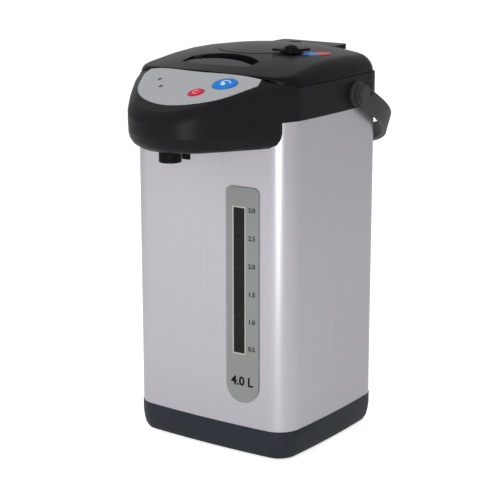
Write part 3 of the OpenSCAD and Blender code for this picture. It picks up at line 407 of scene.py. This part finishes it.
# %% Finish the inner nodes
INNER = {
    "gauge_tube": "tube_glass",
    "tube_fittings": "soft_rubber",
    # The float's finish has a painted glow.
    "level_float": "float_red_painted_glow",
    "insulation_jacket": "felt",
    "band_heater": "mica",
    "heater_plate": "heater_brass",
    "thermostats": "pin_steel",
    "pump_motor": "pin_steel",
    "pump_housing": "milk_white",
    "pump_impeller": "milk_white",
    "inlet_hose": "pale_silicone",
    "outlet_hose": "pale_silicone",
    "spout_tube": "pale_silicone",
    "power_board": "board_green",
    "control_board": "board_green",
    "button_switches": "deep_plastic",
    "lever_pin": "pin_steel",
}
for node, finish in INNER.items():
    NODES[node].data.materials.clear()
    NODES[node].data.materials.append(FINISHES[finish])
print("inner nodes:", len(INNER), "left over:", sorted(set(NODES) - set(INNER) - set(dressed)))


# %% [markdown]
# ## A dome without facets
# The lid's skin is a mesh of flat facets in CAD. Its corners lie on one sphere, so each corner
# can take that sphere's own normal: the dome then shines as one smooth surface, and the
# walls of its recesses, which stand across the sphere, keep their own normals.

# %% Exact normals on the lid
DOME_R, DOME_Y, CREST = 480.0, 20.0, 395.5
NEAR_DOME, SAME_WAY = 0.3, cos(radians(14))


def dome_normals(mesh):
    centre = Vector((0, DOME_Y, CREST - DOME_R)) * MM
    normals = [corner.vector.copy() for corner in mesh.corner_normals]
    for face in mesh.polygons:
        for corner in face.loop_indices:
            arm = mesh.vertices[mesh.loops[corner].vertex_index].co - centre
            on_sphere = abs(arm.length - DOME_R * MM) < NEAR_DOME * MM
            if on_sphere and face.normal.dot(arm) > SAME_WAY * arm.length:
                normals[corner] = arm.normalized()
    mesh.normals_split_custom_set(normals)
    return sum(1 for normal in normals if normal.z > SAME_WAY)


lid = dressed["lid_cover"]
lid.modifiers.clear()
print("corners on the dome:", dome_normals(lid.data))

# %% [markdown]
# ## Surfaces to print on
# The scale lies on the gauge plate, which is part of a very large upright cylinder, the marks
# on the lid lie on a sphere, and the buttons lie on the beak's crown, which slopes forwards
# and falls off to both sides. Small functions give a height on the dome and on the crown,
# and the matrix that stands a flat print on the plate or on the crown.

# %% Sizes of the three surfaces
FACE_R, HALF_DEPTH = 1100.0, 88.5
CROWN_BACK, CROWN_TOP, CROWN_SLOPE, CROWN_HALF = -95, 380.5, 0.44, 92
CROWN_FALL = 11 + CROWN_SLOPE * 23
PRINT_THICK, PRINT_GAP = 0.12, 0.1


# %% Places on the plate, the dome and the crown
def on_plate(x, z, out):
    """The matrix that stands a print, drawn flat in XY, on the pot's front face."""
    reach = FACE_R + out
    y = FACE_R - HALF_DEPTH - sqrt(reach * reach - x * x)
    turn = Matrix.Rotation(asin(x / reach), 4, "Z") @ Matrix.Rotation(pi / 2, 4, "X")
    return Matrix.Translation((x * MM, y * MM, z * MM)) @ turn


def dome_z(x, y):
    return CREST - DOME_R + sqrt(DOME_R * DOME_R - x * x - (y - DOME_Y) ** 2)


def crown_z(x, y):
    return CROWN_TOP + CROWN_SLOPE * (y - CROWN_BACK) - CROWN_FALL * abs(x / CROWN_HALF) ** 3


def on_crown(x, y, up, turn):
    """The matrix that stands a flat print on the beak's top, turned by degrees in plan."""
    falls = 3 * CROWN_FALL * x * abs(x) / CROWN_HALF**3
    normal = Vector((falls, -CROWN_SLOPE, 1)).normalized()
    side = Vector((cos(radians(turn)), sin(radians(turn)), 0))
    side = (side - normal * side.dot(normal)).normalized()
    basis = Matrix((side, normal.cross(side), normal)).transposed().to_4x4()
    spot = Vector((x, y, crown_z(x, y))) + normal * up
    return Matrix.Translation(spot * MM) @ basis


# %% Make a flat print from a bmesh
def print_piece(name, work, finish, body, place):
    """A piece that rides on a body, from a bmesh drawn at the origin and moved to its place."""
    bmesh.ops.transform(work, matrix=place, verts=work.verts)
    bmesh.ops.recalc_face_normals(work, faces=work.faces)
    mesh = bpy.data.meshes.new(name)
    work.to_mesh(mesh)
    work.free()
    mesh.materials.append(FINISHES[finish])
    piece = bpy.data.objects.new(name, mesh)
    bpy.context.scene.collection.objects.link(piece)
    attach(piece, body)
    return piece


def lettering(name, words, size, finish, body, place, bold=0.1):
    """Words or numbers as a thin mesh, centred on the place. Lengths are in mm."""
    curve = bpy.data.curves.new(name, "FONT")
    curve.body, curve.size = words, size * MM
    curve.extrude, curve.offset = PRINT_THICK * MM, bold * MM
    curve.align_x, curve.align_y = "CENTER", "CENTER"
    text = bpy.data.objects.new(name, curve)
    bpy.context.scene.collection.objects.link(text)
    bpy.context.view_layer.update()
    flat = bpy.data.meshes.new_from_object(text.evaluated_get(bpy.context.evaluated_depsgraph_get()))
    bpy.data.objects.remove(text)
    work = bmesh.new()
    work.from_mesh(flat)
    bpy.data.meshes.remove(flat)
    bmesh.ops.remove_doubles(work, verts=work.verts, dist=0.001 * MM)
    return print_piece(name, work, finish, body, place)


# %% [markdown]
# ## The litre scale
# Plain numbers stand beside the dark window, with a short tick at each, and the capacity
# below it. They are thin raised prints, so they stay part of the exported mesh.

# %% Scale, ticks and capacity
PLATE_OUT, LENS_OUT = 1.7, 1.4
MARKS, TOP_LITRE, LITRE_STEP, TOP_Z, PITCH = 6, 3.0, 0.5, 251.3, 27.64
NUMBER_X, NUMBER_SIZE = 55.6, 6.4
TICK_X, TICK_UP, TICK_SIZE, TICK_GAP = 40.6, 0.8, (3.4, 0.9, 0.24), 0.05
CAPACITY_AT, CAPACITY_SIZE, CAPACITY_BOLD = (44.5, 78.7), 12.6, 0.32
for step in range(MARKS):
    litre, z = TOP_LITRE - LITRE_STEP * step, TOP_Z - PITCH * step
    number_place = on_plate(NUMBER_X, z, PLATE_OUT + PRINT_GAP)
    lettering(f"scale_{step}", f"{litre:.1f}", NUMBER_SIZE, "print_black", "pot", number_place)
    tick = bmesh.new()
    bmesh.ops.create_cube(tick, size=1, matrix=Matrix.Diagonal((*(side * MM for side in TICK_SIZE), 1)))
    tick_place = on_plate(TICK_X, z + TICK_UP, LENS_OUT + TICK_GAP)
    print_piece(f"tick_{step}", tick, "print_black", "pot", tick_place)
capacity_place = on_plate(*CAPACITY_AT, PLATE_OUT + PRINT_GAP)
lettering("capacity", "4.0 L", CAPACITY_SIZE, "print_black", "pot", capacity_place, CAPACITY_BOLD)
print("scale numbers:", MARKS, "from", TOP_LITRE, "litres down")

# %% [markdown]
# ## The window's frame
# A thin cream line runs round the window. It starts as one flat face of the window's outer
# size, an inset leaves the line, the middle is deleted and solidify gives the line its
# thickness.

# %% Cream frame
WINDOW_X, WINDOW_LOW, WINDOW_HIGH, WINDOW_W = 41.2, 107.8, 252.8, 12.6
LINE, LINE_THICK = 1.0, 0.3
half_width, half_height = WINDOW_W / 2 + LINE, (WINDOW_HIGH - WINDOW_LOW) / 2 + LINE
work = bmesh.new()
bmesh.ops.create_grid(work, x_segments=1, y_segments=1, size=MM)
bmesh.ops.scale(work, vec=(half_width, half_height, 1), verts=work.verts)
middle = list(work.faces)
bmesh.ops.inset_region(work, faces=middle, thickness=LINE * MM, use_boundary=True)
bmesh.ops.delete(work, geom=middle, context="FACES")
bmesh.ops.solidify(work, geom=work.faces, thickness=LINE_THICK * MM)
frame_place = on_plate(WINDOW_X, (WINDOW_LOW + WINDOW_HIGH) / 2, PLATE_OUT + PRINT_GAP)
print_piece("window_frame", work, "print_cream", "pot", frame_place)
print("window frame:", 2 * half_width, "by", 2 * half_height, "mm")

# %% [markdown]
# ## Pictograms on the buttons
# Each button carries a small plain sign: a drop under a bent arrow for pouring, and a round
# arrow for boiling again. A drop is a circle with one point pulled out. An arrow is a short
# bar, spun through a part of a turn, and a triangle.


# %% Signs from circles and spins
SIGN_THICK = 0.15


def drop_sign(size):
    """A drop: the upper half of a circle of this radius is drawn in and pulled up."""
    work = bmesh.new()
    bmesh.ops.create_circle(work, cap_ends=True, segments=24, radius=size * MM)
    for vert in work.verts:
        lift = max(0.0, vert.co.y / (size * MM))
        vert.co.x *= 1 - 0.75 * lift**1.5
        vert.co.y += 0.9 * size * MM * lift**2
    bmesh.ops.solidify(work, geom=work.faces, thickness=SIGN_THICK * MM)
    return work


def arrow_sign(radius, width, sweep):
    """A bar as wide as width, spun through sweep degrees, with a triangle at its end."""
    work = bmesh.new()
    ends = [work.verts.new(((radius + s * width / 2) * MM, 0, 0)) for s in (-1, 1)]
    edge = work.edges.new(ends)
    spun = bmesh.ops.spin(
        work, geom=[*ends, edge], cent=(0, 0, 0), axis=(0, 0, 1), angle=radians(sweep), steps=20
    )
    tip = [v for v in spun["geom_last"] if isinstance(v, bmesh.types.BMVert)]
    inner, outer = sorted(tip, key=lambda v: v.co.length)
    away = Vector((-outer.co.y, outer.co.x, 0)).normalized()
    outward = outer.co.normalized()
    corners = [
        inner.co - outward * 0.7 * width * MM,
        outer.co + outward * 0.7 * width * MM,
        (inner.co + outer.co) / 2 + away * 1.8 * width * MM,
    ]
    work.faces.new([work.verts.new(c) for c in corners])
    bmesh.ops.solidify(work, geom=work.faces, thickness=SIGN_THICK * MM)
    return work


# %% Signs on their buttons
PANEL_TOP, BUTTON_RISE, SIGN_GAP = 0.7, 0.9, 0.02
BUTTON_TOP = PANEL_TOP + BUTTON_RISE + SIGN_GAP
POUR_X, POUR_Y = 39.5, -109
BOIL_X, BOIL_Y = 20.8, -128.6
drop_place = on_crown(POUR_X - 1.4, POUR_Y - 1.2, BUTTON_TOP, 40)
pour_place = on_crown(POUR_X + 0.6, POUR_Y + 0.4, BUTTON_TOP, 20)
boil_place = on_crown(BOIL_X, BOIL_Y, BUTTON_TOP, 40)
print_piece("drop_mark", drop_sign(2.6), "print_sky", "dispense", drop_place)
print_piece("pour_mark", arrow_sign(4.6, 1.3, 150), "print_sky", "dispense", pour_place)
print_piece("reboil_mark", arrow_sign(2.7, 1.1, 280), "print_rose", "reboil", boil_place)
print("signs lie", round(BUTTON_TOP, 2), "mm above the crown")

# %% [markdown]
# ## The lock knob
# The knob's solid stands square to the dome. In the photograph its wings point the other way,
# so the copy is turned about its own axis, and a round grip grows over its middle: a sphere,
# flattened and cut off at the wings' level.

# %% Turn the knob
KNOB_AT, WING_TURN = (43.5, -4.6), 77
knob_foot = Vector((*KNOB_AT, dome_z(*KNOB_AT)))
knob_axis = (knob_foot - Vector((0, DOME_Y, CREST - DOME_R))).normalized()
spin = Matrix.Rotation(radians(WING_TURN), 4, knob_axis)
foot = Matrix.Translation(knob_foot * MM)
dressed["lock_knob"].data.transform(foot @ spin @ foot.inverted())
print("knob axis:", tuple(round(part, 3) for part in knob_axis))

# %% Grip
GRIP_R, GRIP_H, WING_TOP, GRIP_SHARP = 8.3, 5.9, 1.4, radians(40)
work = bmesh.new()
bmesh.ops.create_uvsphere(work, u_segments=40, v_segments=20, radius=1)
bmesh.ops.scale(work, vec=(GRIP_R, GRIP_R, GRIP_H), verts=work.verts)
geom = [*work.verts, *work.edges, *work.faces]
bmesh.ops.bisect_plane(work, geom=geom, plane_co=(0, 0, 0), plane_no=(0, 0, 1), clear_inner=True)
bmesh.ops.holes_fill(work, edges=work.edges, sides=0)
bmesh.ops.scale(work, vec=(MM, MM, MM), verts=work.verts)
upright = knob_axis.to_track_quat("Z", "Y").to_matrix().to_4x4()
grip_place = Matrix.Translation((knob_foot + knob_axis * WING_TOP) * MM) @ upright
grip = print_piece("knob_grip", work, "knob_plastic", "lock", grip_place)
grip.data.shade_smooth()
grip.data.set_sharp_from_angle(angle=GRIP_SHARP)
print("grip's faces:", len(grip.data.polygons))

# %% [markdown]
# ## Stops on the bail
# A small dark disc beside each pivot marks the stop that holds the bail in its rest pose.
# Its dark colour is painted shade, standing for the shade in the stop's dimple. It is a
# filled circle with a little thickness, stood on the strap's outer face.

# %% Painted shade of the dimples on the strap
STRAP_FACE, DIMPLE_SHADE_AT, DIMPLE_SHADE_R, DIMPLE_SHADE_THICK, DIMPLE_SHADE_GAP = 105.0, (46.0, 351.3), 2.3, 0.1, 0.04
for side, name in ((-1, "stop_left_painted_shade"), (1, "stop_right_painted_shade")):
    work = bmesh.new()
    bmesh.ops.create_circle(work, cap_ends=True, segments=32, radius=DIMPLE_SHADE_R * MM)
    bmesh.ops.solidify(work, geom=work.faces, thickness=DIMPLE_SHADE_THICK * MM)
    spot = Vector((side * (STRAP_FACE + DIMPLE_SHADE_GAP), *DIMPLE_SHADE_AT)) * MM
    dimple_shade_place = Matrix.Translation(spot) @ Matrix.Rotation(side * pi / 2, 4, "Y")
    # The disc's dark deep_plastic is painted shade of the dimple.
    print_piece(name, work, "deep_plastic", "bail", dimple_shade_place)
    print(name, "at", tuple(round(part, 4) for part in spot))

# %% [markdown]
# ## The lock's mark on the lid
# Beside the knob lies an oval label, blue at its open end and red at its locked end. Each half
# starts as a filled circle. It is inset a few times, so that it has points to bend with,
# stretched to an oval, cut through by a bisecting plane and dropped onto the dome.

# %% Lock mark
MARK_AT, MARK_TURN, MARK_HALF = (63.6, 10.6), 70.0, (17.2, 6.2)
MARK_RINGS, RING_WIDTH, HALF_SPLIT = 3, 0.22, 0.15


def mark_half(name, side, finish):
    """Half of the oval: side is -1 for its open end and 1 for its locked end."""
    work = bmesh.new()
    bmesh.ops.create_circle(work, cap_ends=True, segments=48, radius=1)
    for _ in range(MARK_RINGS):
        centre = [face for face in work.faces if len(face.verts) > 4]
        bmesh.ops.inset_region(work, faces=centre, thickness=RING_WIDTH, use_boundary=True)
    bmesh.ops.scale(work, vec=(*MARK_HALF, 1), verts=work.verts)
    geom = [*work.verts, *work.edges, *work.faces]
    cut, away = (HALF_SPLIT * side, 0, 0), (-side, 0, 0)
    bmesh.ops.bisect_plane(work, geom=geom, plane_co=cut, plane_no=away, clear_outer=True)
    bmesh.ops.rotate(work, matrix=Matrix.Rotation(radians(MARK_TURN), 3, "Z"), verts=work.verts)
    for vert in work.verts:
        x, y = vert.co.x + MARK_AT[0], vert.co.y + MARK_AT[1]
        vert.co = Vector((x, y, dome_z(x, y) + PRINT_THICK)) * MM
    bmesh.ops.solidify(work, geom=work.faces, thickness=PRINT_THICK * MM)
    return print_piece(name, work, finish, "lid", Matrix.Identity(4))


halves = [
    mark_half("lock_mark_open", -1, "button_blue"),
    mark_half("lock_mark_shut", 1, "button_red"),
]
print("faces of the mark's halves:", [len(half.data.polygons) for half in halves])

# %% [markdown]
# ## Light, floor and backdrop
# The photograph has the even light of a product table: a white surround, a soft key light
# from the left and a weaker one from the right. A tall strip near the camera draws the bright
# line down the steel's front corner, and it is the only lamp that shows in reflections. The
# world is white for the camera, dimmer in reflections and dimmer still as a lamp, so that
# pale surfaces don't clip. The floor glows where the camera sees it, so that it's white.

# %% World
world = bpy.data.worlds.new("studio")
bpy.context.scene.world = world
world.use_nodes = True
world_nodes, world_links = world.node_tree.nodes, world.node_tree.links
sky = world_nodes["Background"]
path = world_nodes.new("ShaderNodeLightPath")
LAMP_LEVEL = 0.4
RAY_LEVELS = (("Is Camera Ray", 0.6), ("Is Transmission Ray", 0.6), ("Is Glossy Ray", 0.15))
level = None
for ray, more in RAY_LEVELS:
    step = world_nodes.new("ShaderNodeMath")
    step.operation = "MULTIPLY_ADD"
    world_links.new(path.outputs[ray], step.inputs[0])
    step.inputs[1].default_value = more
    if level:
        world_links.new(level, step.inputs[2])
    else:
        step.inputs[2].default_value = LAMP_LEVEL
    level = step.outputs[0]
world_links.new(level, sky.inputs["Strength"])
sky.inputs["Color"].default_value = (1, 1, 1, 1)
print("world as a lamp:", LAMP_LEVEL, "for the camera:", LAMP_LEVEL + RAY_LEVELS[0][1])


# %% Lamps
def soft_lamp(name, place, aim, size, power, mirrored=False):
    """An area lamp at place that shines at aim. Reflections show it if it is mirrored."""
    lamp = bpy.data.lights.new(name, "AREA")
    lamp.shape, lamp.size, lamp.size_y = "RECTANGLE", size[0], size[1]
    lamp.energy = power
    holder = bpy.data.objects.new(name, lamp)
    bpy.context.scene.collection.objects.link(holder)
    direction = Vector(aim) - Vector(place)
    turned = direction.to_track_quat("-Z", "Y").to_matrix().to_4x4()
    holder.matrix_world = Matrix.Translation(place) @ turned
    holder.visible_glossy = mirrored


soft_lamp("key_left", (-1.1, -1.5, 1.2), (0, 0, 0.2), (1.0, 1.4), 17)
soft_lamp("fill_right", (1.6, -0.2, 0.9), (0, 0, 0.2), (0.7, 1.2), 3)
soft_lamp("corner_strip", (0.7, -1.28, 0.1), (0, 0, 0.15), (0.4, 1.5), 13, mirrored=True)
soft_lamp("top_soft", (0.1, 0.3, 1.8), (0, 0, 0.3), (1.2, 1.2), 5)
print("lamps:", len(bpy.data.lights))

# %% Floor
FLOOR_HALF, FLOOR_GLOW, FLOOR_MIRRORED = 6, 0.72, 0.15
floor_mesh = bpy.data.meshes.new("floor")
work = bmesh.new()
bmesh.ops.create_grid(work, x_segments=1, y_segments=1, size=FLOOR_HALF)
work.to_mesh(floor_mesh)
work.free()
floor = bpy.data.objects.new("floor", floor_mesh)
bpy.context.scene.collection.objects.link(floor)
white = Finish("floor_white")
seen = white.node("ShaderNodeLightPath", output="Is Camera Ray")
through = white.node("ShaderNodeLightPath", output="Is Transmission Ray")
mirrored = white.node("ShaderNodeLightPath", output="Is Glossy Ray") * FLOOR_MIRRORED
glow = white.blend(seen + through + mirrored, (0, 0, 0, 1), (1, 1, 1, 1))
white.set(Base_Color=(0.9, 0.9, 0.9, 1), Roughness=0.6, Specular_IOR_Level=0.2)
white.set(Emission_Color=glow, Emission_Strength=FLOOR_GLOW)
floor_mesh.materials.append(white.material)
print("floor:", 2 * FLOOR_HALF, "m wide")

# %% Settings
bpy.context.scene.view_settings.view_transform = "Standard"
